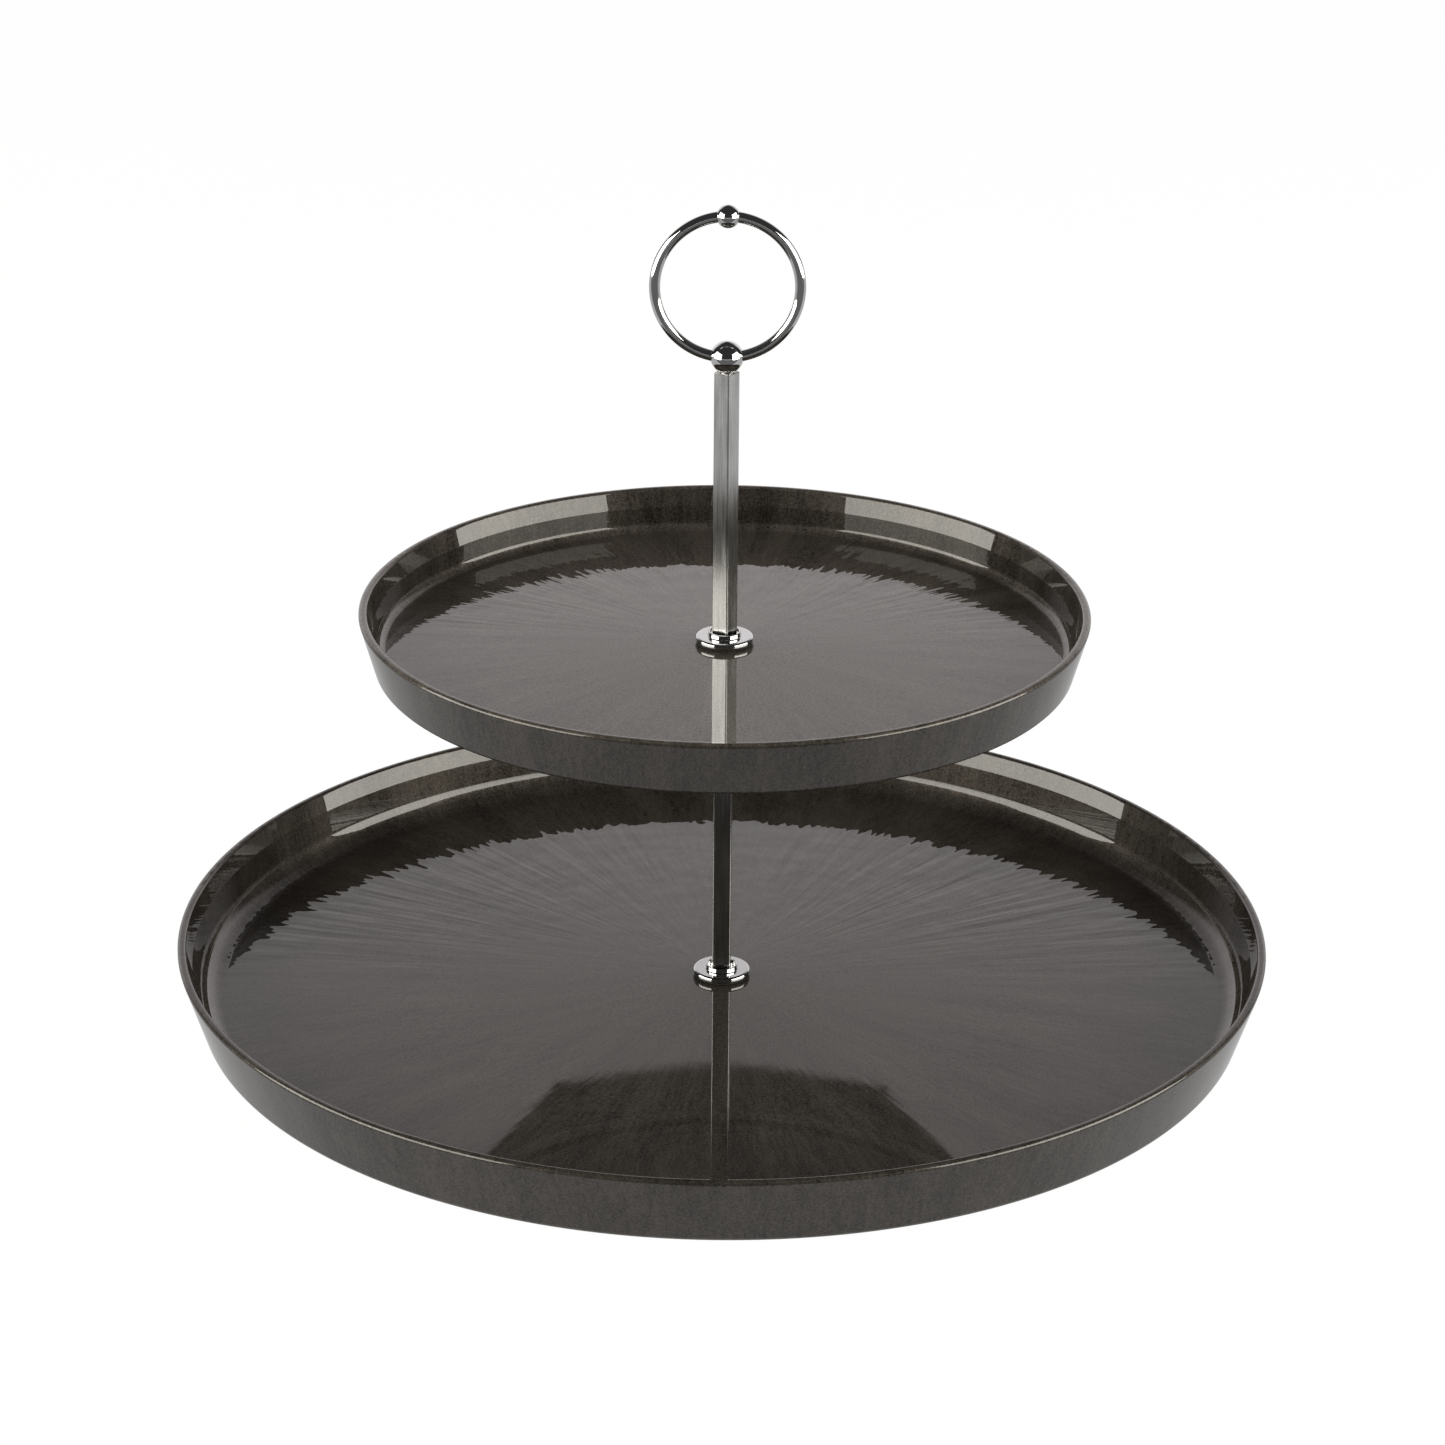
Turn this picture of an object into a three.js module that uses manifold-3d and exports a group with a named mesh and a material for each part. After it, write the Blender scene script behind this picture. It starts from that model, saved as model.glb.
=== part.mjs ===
// Two-tier cake stand: two round lacquered trays on a chromed centre column with a ring handle.
// Millimetres, +Z up. The origin is the centre of the lower tray's foot ring, on the table.
// The column's flat-faced pieces stand SEAT_GAP apart, so that no two solids share a face.

import * as THREE from "three";
import { mergeVertices } from "three/addons/utils/BufferGeometryUtils.js";
import Module from "manifold-3d";

const wasm = await Module();
wasm.setup();

// Driving dimensions
const LOWER_RIM_RADIUS = 165;
const LOWER_HEIGHT = 21.6;
const LOWER_BASE_RADIUS = 159;
const LOWER_WALL_LEAN = THREE.MathUtils.degToRad(12);
const LOWER_COVE_RADIUS = 7.5;
const UPPER_RIM_RADIUS = 108.2;
const UPPER_HEIGHT = 16.7;
const UPPER_BASE_RADIUS = 104.4;
const UPPER_WALL_LEAN = THREE.MathUtils.degToRad(5.5);
const UPPER_COVE_RADIUS = 3;
const UPPER_TRAY_Z = 109.1;
const COLUMN_TOP_Z = 197.8;
const POST_WIDTH = 5.5;
const LOWER_POST_TURN = THREE.MathUtils.degToRad(-4);
const UPPER_POST_TURN = THREE.MathUtils.degToRad(-36);
const RING_RADIUS = 21.1;
const RING_WIRE_RADIUS = 1.6;
const BALL_RADIUS = 4.8;
const BEAD_RADIUS = 3.4;

// Tray section, measured from each tray's own base
const FLOOR_TOP = 4.6;
const UNDERSIDE = 2.4;
const SEAT_RADIUS = 9;
const FLOOR_FALL = 0.0115;
const TRAY_HOLE_RADIUS = 2.9;
const FOOT_WIDTH = 6;
const FOOT_CORNER = 1.2;
const FOOT_SLOPE = 1.5;
const LIP_THICKNESS = 2.4;
const LIP_ROUND = 0.9;
const FLARE_DEPTH = 5.7;
const FLARE_LEAN = THREE.MathUtils.degToRad(18.5);

// Fittings
const SEAT_GAP = 0.1;
const GASKET_THICKNESS = 0.5;
const GASKET_RADIUS = 8.2;
const FLANGE_RADIUS = 8.75;
const FLANGE_THICKNESS = 1.7;
const FLANGE_WEB = 0.8;
const FLANGE_EDGE = 0.5;
const HUB_RADIUS = 4.9;
const HUB_HEIGHT = 1.3;
const HUB_BORE_RADIUS = 4.25;
const SCREW_CLEARANCE_RADIUS = 2.3;
const POST_CORNER = 0.6;
const POST_WALL = 0.35;
const BUSH_GAP = 0.1;
const BUSH_LENGTH = 12;
const THREAD_BORE_RADIUS = 2.1;
const THREAD_RADIUS = 1.9;
const THREAD_TIP = 0.5;
const STUD_ENGAGEMENT = 8;
const SCREW_HEAD_RADIUS = 6.5;
const SCREW_HEAD_HEIGHT = 1.3;
const SCREW_REACH = 12.3;
const DRIVE_LENGTH = 5;
const DRIVE_WIDTH = 1;
const DRIVE_DEPTH = 0.7;
const HANDLE_STUD_LENGTH = 8.6;
const HANDLE_STUD_DEPTH = 6.8;
const BALL_FLAT_DROP = 4.3;
const RING_BORE_RADIUS = 1.9;
const WIRE_END_GAP = 0.4;

// Roundness: sides around each turned piece, and steps along each curve of a profile
const TRAY_SIDES = 64;
const BALL_SIDES = 32;
const SMALL_SIDES = 24;
const CURVE_STEPS = 5;
const BALL_STEPS = 10;
const WIRE_SIDES = 10;
const WIRE_STEPS = 48;

const finishes = {
  lacquer: { color: 0x3b3735, roughness: 0.18, metalness: 0.35 },
  chrome: { color: 0xd8d8d8, roughness: 0.06, metalness: 1 },
  satin: { color: 0xb9b8b4, roughness: 0.32, metalness: 1 },
  zinc: { color: 0xa6a49c, roughness: 0.4, metalness: 1 },
  rubber: { color: 0x151515, roughness: 0.8, metalness: 0 },
};

const stand = new THREE.Group();

function addPart(name, geometry, finish, z = 0) {
  const mesh = new THREE.Mesh(geometry, new THREE.MeshStandardMaterial(finishes[finish]));
  mesh.name = name;
  mesh.position.z = z;
  stand.add(mesh);
}

// Points are (radius, height) pairs, run anticlockwise round the section.
function turned(points, sides) {
  const profile = points.map(([radius, height]) => new THREE.Vector2(radius, height));
  return new THREE.LatheGeometry(profile, sides).rotateX(Math.PI / 2);
}

function turnedRing(points, sides) {
  return turned([...points, points[0]], sides);
}

function toSolid(geometry) {
  const bare = geometry.clone();
  bare.deleteAttribute("normal");
  bare.deleteAttribute("uv");
  const merged = mergeVertices(bare, 1e-4);
  const vertProperties = new Float32Array(merged.attributes.position.array);
  const triVerts = new Uint32Array(merged.index.array);
  return new wasm.Manifold(new wasm.Mesh({ numProp: 3, vertProperties, triVerts }));
}

function toGeometry(solid) {
  const { vertProperties, triVerts } = solid.getMesh();
  const geometry = new THREE.BufferGeometry();
  geometry.setAttribute("position", new THREE.BufferAttribute(vertProperties, 3));
  geometry.setIndex(new THREE.BufferAttribute(triVerts, 1));
  return geometry;
}

// A sphere's outline from the angle "from" to the angle "to", in radians above its equator.
function ballArc(radius, centreHeight, from, to) {
  return Array.from({ length: BALL_STEPS + 1 }, (_, i) => {
    const angle = from + ((to - from) * i) / BALL_STEPS;
    return [Math.max(radius * Math.cos(angle), 0), centreHeight + radius * Math.sin(angle)];
  });
}

// How far in from the lip the floor ends, for a floor that lies "depth" below the rim.
function wallReach(depth, wallLean, coveRadius) {
  const coveHeight = coveRadius * (1 - Math.sin(wallLean));
  const flareReach = FLARE_DEPTH * Math.tan(FLARE_LEAN);
  const wallHeight = depth - FLARE_DEPTH - coveHeight;
  return flareReach + wallHeight * Math.tan(wallLean) + coveRadius * Math.cos(wallLean);
}

// A floor inside a foot ring, flat in the middle and falling a little towards the wall,
// an outer wall that leans out, a rounded lip, and an inner wall that flares at the top
// and runs down to a round cove at the floor.
function trayGeometry(rimRadius, height, baseRadius, wallLean, coveRadius) {
  const footOuter = baseRadius - FOOT_CORNER;
  const footInner = footOuter - FOOT_WIDTH;
  const lipInner = rimRadius - LIP_THICKNESS;
  const lipMiddle = rimRadius - LIP_THICKNESS / 2;
  const flatFloorEdge = lipInner - wallReach(height - FLOOR_TOP, wallLean, coveRadius);
  const floorDrop = (flatFloorEdge - SEAT_RADIUS) * FLOOR_FALL;
  const floorEdge = lipInner - wallReach(height - FLOOR_TOP + floorDrop, wallLean, coveRadius);
  const wallTop = height - LIP_ROUND;
  const outline = new THREE.Path();
  outline.moveTo(TRAY_HOLE_RADIUS, UNDERSIDE);
  outline.lineTo(SEAT_RADIUS, UNDERSIDE);
  outline.lineTo(footInner - FOOT_SLOPE, UNDERSIDE - floorDrop);
  outline.lineTo(footInner, 0);
  outline.lineTo(footOuter, 0);
  outline.quadraticCurveTo(baseRadius, 0, baseRadius + FOOT_CORNER / 4, FOOT_CORNER);
  outline.lineTo(rimRadius, wallTop);
  outline.quadraticCurveTo(rimRadius, height, lipMiddle, height);
  outline.quadraticCurveTo(lipInner, height, lipInner, wallTop);
  outline.lineTo(lipInner - FLARE_DEPTH * Math.tan(FLARE_LEAN), height - FLARE_DEPTH);
  outline.absarc(floorEdge, FLOOR_TOP - floorDrop + coveRadius, coveRadius, -wallLean, -Math.PI / 2, true);
  outline.lineTo(SEAT_RADIUS, FLOOR_TOP);
  outline.lineTo(TRAY_HOLE_RADIUS, FLOOR_TOP);
  const points = outline.getPoints(CURVE_STEPS).map((point) => [point.x, point.y]);
  return turnedRing(points, TRAY_SIDES);
}

// A disc with a rounded edge and a low hub, which the end of the post stands in.
function flangeGeometry() {
  const hubTop = FLANGE_THICKNESS + HUB_HEIGHT;
  return turnedRing([
    [SCREW_CLEARANCE_RADIUS, 0],
    [FLANGE_RADIUS - FLANGE_EDGE, 0],
    [FLANGE_RADIUS, FLANGE_EDGE],
    [FLANGE_RADIUS, FLANGE_THICKNESS - FLANGE_EDGE],
    [FLANGE_RADIUS - FLANGE_EDGE, FLANGE_THICKNESS],
    [HUB_RADIUS + FLANGE_EDGE / 2, FLANGE_THICKNESS],
    [HUB_RADIUS, FLANGE_THICKNESS + FLANGE_EDGE / 2],
    [HUB_RADIUS, hubTop - FLANGE_EDGE / 2],
    [HUB_RADIUS - FLANGE_EDGE / 2, hubTop],
    [HUB_BORE_RADIUS, hubTop],
    [HUB_BORE_RADIUS, FLANGE_WEB],
    [SCREW_CLEARANCE_RADIUS, FLANGE_WEB],
  ], SMALL_SIDES);
}

function washerGeometry(outerRadius, innerRadius, thickness) {
  return turnedRing([
    [innerRadius, 0],
    [outerRadius, 0],
    [outerRadius, thickness],
    [innerRadius, thickness],
  ], SMALL_SIDES);
}

// A square outline with rounded corners, run anticlockwise. Shape and Path both can draw it.
function drawSquare(outline, width, corner) {
  const middle = width / 2 - corner;
  for (const quarter of [0, 1, 2, 3]) {
    const angle = (quarter * Math.PI) / 2;
    const [x, y] = [[middle, middle], [-middle, middle], [-middle, -middle], [middle, -middle]][quarter];
    outline.absarc(x, y, corner, angle, angle + Math.PI / 2, false);
  }
  outline.closePath();
  return outline;
}

function extruded(section, hole, length, turn) {
  section.holes.push(hole);
  const geometry = new THREE.ExtrudeGeometry(section, {
    depth: length, bevelEnabled: false, curveSegments: CURVE_STEPS,
  });
  return geometry.rotateZ(turn);
}

// Square tube with rounded corners
function postGeometry(length, turn) {
  const boreWidth = POST_WIDTH - 2 * POST_WALL;
  const section = drawSquare(new THREE.Shape(), POST_WIDTH, POST_CORNER);
  const bore = drawSquare(new THREE.Path(), boreWidth, POST_CORNER - POST_WALL);
  return extruded(section, bore, length, turn);
}

// Square plug that fills the end of a post, threaded through its middle
function bushGeometry(turn) {
  const width = POST_WIDTH - 2 * POST_WALL - 2 * BUSH_GAP;
  const section = drawSquare(new THREE.Shape(), width, POST_CORNER - POST_WALL);
  const bore = new THREE.Path().absarc(0, 0, THREAD_BORE_RADIUS, 0, 2 * Math.PI, false);
  return extruded(section, bore, BUSH_LENGTH, turn);
}

// A plain rod at the thread's mean diameter, with a chamfered tip at each end.
function studGeometry(length) {
  return turned([
    [0, 0],
    [THREAD_RADIUS - THREAD_TIP, 0],
    [THREAD_RADIUS, THREAD_TIP],
    [THREAD_RADIUS, length - THREAD_TIP],
    [THREAD_RADIUS - THREAD_TIP, length],
    [0, length],
  ], SMALL_SIDES);
}

// Thin wide head downwards with a cross recess, shank upwards.
function baseScrewGeometry() {
  const crown = SCREW_HEAD_HEIGHT / 2;
  const blank = turned([
    [0, 0],
    [SCREW_HEAD_RADIUS - crown, 0],
    [SCREW_HEAD_RADIUS, crown],
    [SCREW_HEAD_RADIUS, SCREW_HEAD_HEIGHT],
    [THREAD_RADIUS, SCREW_HEAD_HEIGHT],
    [THREAD_RADIUS, SCREW_HEAD_HEIGHT + SCREW_REACH - THREAD_TIP],
    [THREAD_RADIUS - THREAD_TIP, SCREW_HEAD_HEIGHT + SCREW_REACH],
    [0, SCREW_HEAD_HEIGHT + SCREW_REACH],
  ], SMALL_SIDES);
  let screw = toSolid(blank);
  for (const [length, width] of [[DRIVE_LENGTH, DRIVE_WIDTH], [DRIVE_WIDTH, DRIVE_LENGTH]]) {
    screw = screw.subtract(toSolid(new THREE.BoxGeometry(length, width, 2 * DRIVE_DEPTH)));
  }
  return toGeometry(screw);
}

// The curved way that the ring's wire takes through the ball and the bead.
const ringZ = COLUMN_TOP_Z + SEAT_GAP + BALL_FLAT_DROP + RING_RADIUS;
function ringBore() {
  const torus = new THREE.TorusGeometry(RING_RADIUS, RING_BORE_RADIUS, WIRE_SIDES, 2 * WIRE_STEPS);
  return toSolid(torus.rotateX(Math.PI / 2).translate(0, 0, ringZ));
}

// A ball with a flat seat below and a blind hole for the stud, drilled across for the ring.
function ballGeometry() {
  const centre = ringZ - RING_RADIUS;
  const seat = centre - BALL_FLAT_DROP;
  const holeTop = seat + HANDLE_STUD_LENGTH - HANDLE_STUD_DEPTH + SEAT_GAP;
  const blank = turned([
    [0, holeTop],
    [THREAD_BORE_RADIUS, holeTop],
    [THREAD_BORE_RADIUS, seat],
    ...ballArc(BALL_RADIUS, centre, -Math.asin(BALL_FLAT_DROP / BALL_RADIUS), Math.PI / 2),
  ], BALL_SIDES);
  return toGeometry(toSolid(blank).subtract(ringBore()));
}

function beadGeometry() {
  const blank = turned(ballArc(BEAD_RADIUS, ringZ + RING_RADIUS, -Math.PI / 2, Math.PI / 2), BALL_SIDES);
  return toGeometry(toSolid(blank).subtract(ringBore()));
}

// Round wire bent to a circle in the XZ plane. Its two ends face each other inside the bead.
class RingPath extends THREE.Curve {
  getPoint(t, target = new THREE.Vector3()) {
    const halfGap = WIRE_END_GAP / 2 / RING_RADIUS;
    const angle = Math.PI / 2 + halfGap + t * (2 * Math.PI - 2 * halfGap);
    return target.set(RING_RADIUS * Math.cos(angle), 0, RING_RADIUS * Math.sin(angle));
  }
}

function ringGeometry() {
  const section = new THREE.Shape(
    Array.from({ length: WIRE_SIDES }, (_, i) => {
      const angle = (2 * Math.PI * i) / WIRE_SIDES;
      return new THREE.Vector2(RING_WIRE_RADIUS * Math.cos(angle), RING_WIRE_RADIUS * Math.sin(angle));
    }),
  );
  return new THREE.ExtrudeGeometry(section, {
    steps: WIRE_STEPS,
    bevelEnabled: false,
    extrudePath: new RingPath(),
  });
}

// Heights up the column, each worked out from the piece below it
const lowerFlangeZ = FLOOR_TOP + GASKET_THICKNESS + 2 * SEAT_GAP;
const upperFlangeZ = UPPER_TRAY_Z + lowerFlangeZ;
const lowerPostZ = lowerFlangeZ + FLANGE_WEB + SEAT_GAP;
const upperPostZ = upperFlangeZ + FLANGE_WEB + SEAT_GAP;
const supportTopZ = UPPER_TRAY_Z + UNDERSIDE - GASKET_THICKNESS - 2 * SEAT_GAP;
const lowerPostTopZ = supportTopZ - FLANGE_WEB - SEAT_GAP;

// Lower tier
addPart("lower_tray",
  trayGeometry(LOWER_RIM_RADIUS, LOWER_HEIGHT, LOWER_BASE_RADIUS, LOWER_WALL_LEAN, LOWER_COVE_RADIUS),
  "lacquer");
addPart("base_screw", baseScrewGeometry(), "zinc",
  UNDERSIDE - GASKET_THICKNESS - 2 * SEAT_GAP - SCREW_HEAD_HEIGHT);
for (const [name, z] of [
  ["base_gasket", UNDERSIDE - SEAT_GAP - GASKET_THICKNESS],
  ["lower_gasket", FLOOR_TOP + SEAT_GAP],
  ["support_gasket", UPPER_TRAY_Z + UNDERSIDE - SEAT_GAP - GASKET_THICKNESS],
  ["upper_gasket", UPPER_TRAY_Z + FLOOR_TOP + SEAT_GAP],
]) {
  addPart(name, washerGeometry(GASKET_RADIUS, SCREW_CLEARANCE_RADIUS, GASKET_THICKNESS), "rubber", z);
}
addPart("lower_flange", flangeGeometry(), "chrome", lowerFlangeZ);
addPart("lower_post", postGeometry(lowerPostTopZ - lowerPostZ, LOWER_POST_TURN), "satin", lowerPostZ);

// Upper tier: the support flange is the same piece as the other two, turned over
addPart("support_flange", flangeGeometry().rotateX(Math.PI), "chrome", supportTopZ);
addPart("upper_tray",
  trayGeometry(UPPER_RIM_RADIUS, UPPER_HEIGHT, UPPER_BASE_RADIUS, UPPER_WALL_LEAN, UPPER_COVE_RADIUS),
  "lacquer", UPPER_TRAY_Z);
addPart("upper_flange", flangeGeometry(), "chrome", upperFlangeZ);
addPart("upper_post", postGeometry(COLUMN_TOP_Z - upperPostZ, UPPER_POST_TURN), "satin", upperPostZ);

// Threaded bushes in the ends of both posts
for (const [name, turn, z] of [
  ["lower_post_bottom_bush", LOWER_POST_TURN, lowerPostZ],
  ["lower_post_top_bush", LOWER_POST_TURN, lowerPostTopZ - BUSH_LENGTH],
  ["upper_post_bottom_bush", UPPER_POST_TURN, upperPostZ],
  ["upper_post_top_bush", UPPER_POST_TURN, COLUMN_TOP_Z - BUSH_LENGTH],
]) {
  addPart(name, bushGeometry(turn), "zinc", z);
}

// The stud that joins the posts through the upper tray
const tierStudZ = lowerPostTopZ - STUD_ENGAGEMENT;
addPart("tier_stud", studGeometry(upperPostZ + STUD_ENGAGEMENT - tierStudZ), "zinc", tierStudZ);

// Handle
addPart("handle_stud", studGeometry(HANDLE_STUD_LENGTH), "zinc",
  COLUMN_TOP_Z + SEAT_GAP - HANDLE_STUD_DEPTH);
addPart("handle_ball", ballGeometry(), "chrome");
addPart("handle_ring", ringGeometry(), "chrome", ringZ);
addPart("handle_bead", beadGeometry(), "chrome");

export default stand;
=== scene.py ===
"""The finished look of a two-tier cake stand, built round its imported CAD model.

Every outline below is in millimetres, as (radius, height) pairs run anticlockwise round the section.
Heights and main sizes come from the CAD nodes' boxes. Meshes are in metres.
"""

import math

import bmesh
import bpy
from mathutils import Euler, Matrix, Vector


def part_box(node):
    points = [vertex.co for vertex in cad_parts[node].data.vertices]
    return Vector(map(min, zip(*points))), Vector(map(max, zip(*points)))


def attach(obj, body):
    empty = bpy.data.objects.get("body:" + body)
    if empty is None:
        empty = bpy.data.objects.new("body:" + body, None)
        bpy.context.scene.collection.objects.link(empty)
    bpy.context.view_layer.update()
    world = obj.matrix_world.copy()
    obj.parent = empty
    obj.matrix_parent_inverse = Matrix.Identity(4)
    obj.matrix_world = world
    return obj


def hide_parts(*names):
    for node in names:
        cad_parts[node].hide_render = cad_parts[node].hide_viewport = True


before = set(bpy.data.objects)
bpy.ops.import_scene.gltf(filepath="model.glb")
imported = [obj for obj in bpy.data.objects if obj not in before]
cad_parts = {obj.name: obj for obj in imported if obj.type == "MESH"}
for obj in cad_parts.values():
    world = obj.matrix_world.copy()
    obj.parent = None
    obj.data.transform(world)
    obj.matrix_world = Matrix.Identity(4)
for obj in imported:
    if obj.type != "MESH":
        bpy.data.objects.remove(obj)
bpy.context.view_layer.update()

MM = 0.001

# Roundness of the turned pieces
TRAY_SIDES = 384
FITTING_SIDES = 128
WIRE_SIDES = 48
WIRE_STEPS = 256
ARC_STEPS = 6
CORNER_STEPS = 10
BRACED_LENGTH = 1.0
BRACE_MARGIN = 0.05
BALL_STEPS = 64
THREAD_SIDES = 48
THREAD_ROWS_PER_PITCH = 8
SHARP_ANGLE = 35
THREAD_SHARP_ANGLE = 60

# Tray section, measured from each tray's own base
FLOOR_TOP = 4.6
UNDERSIDE = 2.4
SEAT_RADIUS = 9
FLOOR_FALL = 0.0115
TRAY_HOLE_RADIUS = 2.9
FOOT_WIDTH = 6
FOOT_INSET = 0.3
FOOT_SLOPE = 1.5
BASE_RISE = 0.3
LIP_THICKNESS = 2.4
LIP_ROUND = 1.0
HOLE_EDGE = 0.3
FOOT_FILLET = 1.0
FOOT_INNER_EDGE = 0.4
FOOT_OUTER_EDGE = 1.1
FLARE_DEPTH = 5.7
FLARE_LEAN = math.radians(18.5)
FLARE_KINK = 1.5
WALL_LEANS = {"lower_tray": math.radians(12), "upper_tray": math.radians(5.5)}
COVE_RADII = {"lower_tray": 7.5, "upper_tray": 3}
COVE_STEPS = 16

# Fittings
FLANGE_THICKNESS = 1.7
FLANGE_WEB = 0.8
FLANGE_LOWER_EDGE = 0.55
FLANGE_UPPER_EDGE = 0.75
HUB_EDGE = 0.35
WEB_EDGE = 0.1
FINE_EDGE = 0.15
HUB_RADIUS = 4.9
HUB_BORE_RADIUS = 4.25
SCREW_CLEARANCE_RADIUS = 2.3
POST_WIDTH = 5.5
POST_CORNER = 0.4
POST_WALL = 0.35
BORE_CORNER = 0.2
POST_TURNS = {"lower_post": math.radians(-4), "upper_post": math.radians(-36)}
BUSH_GAP = 0.1
BUSH_BORE_RADIUS = 2.1
THREAD_CREST_RADIUS = 2.0
THREAD_ROOT_RADIUS = 1.65
THREAD_PITCH = 0.7
THREAD_END_TAPER = 0.2
SCREW_HEAD_HEIGHT = 1.3
SCREW_HEAD_ROUND = 0.9
DRIVE_LENGTH = 5
DRIVE_WIDTH = 1
DRIVE_DEPTH = 0.7
WIRE_RADIUS = 1.6
WIRE_SEAT_RADIUS = 1.62
WIRE_END_GAP = 0.4
STUD_HOLE_RADIUS = 2.1
STUD_END_GAP = 0.1


# ---------------------------------------------------------------- outlines and meshes

def node_box(node):
    """A CAD node's (lowest corner, highest corner) in millimetres."""
    low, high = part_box(node)
    return low / MM, high / MM


def rounded(corners):
    """An outline from (radius, height, rounding) corners, with an arc at each corner that has a rounding."""
    outline = []
    for i, (radius, height, rounding) in enumerate(corners):
        corner = Vector((radius, height))
        if rounding == 0:
            outline.append((radius, height))
            continue
        back = (Vector(corners[i - 1][:2]) - corner).normalized()
        on = (Vector(corners[(i + 1) % len(corners)][:2]) - corner).normalized()
        half = back.angle(on) / 2
        centre = corner + (back + on).normalized() * (rounding / math.sin(half))
        reach = rounding / math.tan(half)
        start = corner + back * reach - centre
        end = corner + on * reach - centre
        for k in range(ARC_STEPS + 1):
            point = centre + start.lerp(end, k / ARC_STEPS).normalized() * rounding
            outline.append((point.x, point.y))
    return outline


def braced(outline, closed=True):
    """The outline with a point just inside both ends of each long stretch, so that it shades flat."""
    points = []
    for here, on in zip(outline, outline[1:] + outline[: 1 if closed else 0]):
        start, end = Vector(here), Vector(on)
        points.append(start)
        if (end - start).length > BRACED_LENGTH:
            margin = (end - start).normalized() * BRACE_MARGIN
            points.extend([start + margin, end - margin])
    return points if closed else points + [Vector(outline[-1])]


def smooth(mesh, sharp_angle=SHARP_ANGLE):
    mesh.shade_smooth()
    mesh.set_sharp_from_angle(angle=math.radians(sharp_angle))
    return mesh


def lathe(name, outline, sides, closed=True):
    """A turned mesh. A closed outline makes a ring; an open one starts and ends on the axis."""
    vertices, rings = [], []
    for radius, height in braced(outline, closed):
        count = sides if radius > 0 else 1
        rings.append((len(vertices), count))
        for i in range(count):
            angle = 2 * math.pi * i / sides
            point = Vector((radius * math.cos(angle), radius * math.sin(angle), height))
            vertices.append(point * MM)
    faces = []
    pairs = list(zip(rings, rings[1:] + rings[:1]))
    for (a, a_count), (b, b_count) in pairs if closed else pairs[:-1]:
        for i in range(sides):
            j = (i + 1) % sides
            if a_count == 1:
                faces.append((a, b + j, b + i))
            elif b_count == 1:
                faces.append((a + i, a + j, b))
            else:
                faces.append((a + i, a + j, b + j, b + i))
    mesh = bpy.data.meshes.new(name)
    mesh.from_pydata(vertices, [], faces)
    mesh.validate()
    return smooth(mesh)


def sweep(name, radius, centres, frames, closed):
    """A round tube through the centres. Each frame is the tube's two cross directions there."""
    vertices, faces = [], []
    for centre, (across, over) in zip(centres, frames):
        for i in range(WIRE_SIDES):
            angle = 2 * math.pi * i / WIRE_SIDES
            vertices.append((centre + (across * math.cos(angle) + over * math.sin(angle)) * radius) * MM)
    count = len(centres)
    for k in range(count if closed else count - 1):
        a, b = k * WIRE_SIDES, (k + 1) % count * WIRE_SIDES
        for i in range(WIRE_SIDES):
            j = (i + 1) % WIRE_SIDES
            faces.append((a + i, b + i, b + j, a + j))
    if not closed:
        faces.append(tuple(range(WIRE_SIDES)))
        faces.append(tuple(reversed(range((count - 1) * WIRE_SIDES, count * WIRE_SIDES))))
    mesh = bpy.data.meshes.new(name)
    mesh.from_pydata(vertices, [], faces)
    mesh.validate()
    return smooth(mesh)


def wire_circle(name, centre_z, ring_radius, wire_radius, gap):
    """A wire bent to an upright circle in the XZ plane, open by gap at the top."""
    closed = gap == 0
    half_gap = gap / 2 / ring_radius
    centres, frames = [], []
    for k in range(WIRE_STEPS if closed else WIRE_STEPS + 1):
        angle = math.pi / 2 + half_gap + k / WIRE_STEPS * (2 * math.pi - 2 * half_gap)
        outwards = Vector((math.cos(angle), 0, math.sin(angle)))
        centres.append(Vector((0, 0, centre_z)) + outwards * ring_radius)
        frames.append((outwards, Vector((0, 1, 0))))
    return sweep(name, wire_radius, centres, frames, closed)


def cut(mesh, tool):
    """The mesh with the tool's mesh cut out of it."""
    body = bpy.data.objects.new("cut_body", mesh)
    cutter = bpy.data.objects.new("cut_tool", tool)
    for item in (body, cutter):
        bpy.context.scene.collection.objects.link(item)
    modifier = body.modifiers.new("cut", "BOOLEAN")
    modifier.operation = "DIFFERENCE"
    modifier.solver = "EXACT"
    modifier.object = cutter
    graph = bpy.context.evaluated_depsgraph_get()
    result = bpy.data.meshes.new_from_object(body.evaluated_get(graph))
    for item in (body, cutter):
        bpy.data.objects.remove(item)
    result.name = mesh.name
    return smooth(result)


def block(width, depth, height):
    """A box mesh centred on the origin."""
    mesh = bpy.data.meshes.new("block")
    shape = bmesh.new()
    bmesh.ops.create_cube(shape, size=1, matrix=Matrix.Diagonal((width * MM, depth * MM, height * MM, 1)))
    shape.to_mesh(mesh)
    shape.free()
    return mesh


def add_piece(name, mesh, node, body, material):
    """A finished piece that stands for a CAD node, rides on its body and takes the given material."""
    mesh.name = name
    piece = bpy.data.objects.new(name, mesh)
    bpy.context.scene.collection.objects.link(piece)
    mesh.materials.clear()
    mesh.materials.append(material)
    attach(piece, body)
    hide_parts(node)
    return piece


# ---------------------------------------------------------------- materials

WHITE = (1, 1, 1, 1)
UP = (0, 0, 1)
BACKWARDS = (0, 1, 0)
LEVEL = (1, 1, 0)

# Most of a noise's values lie between these, so a finish spreads its colours and roughness over them.
NOISE_RANGE = (0.3, 0.7)

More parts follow.
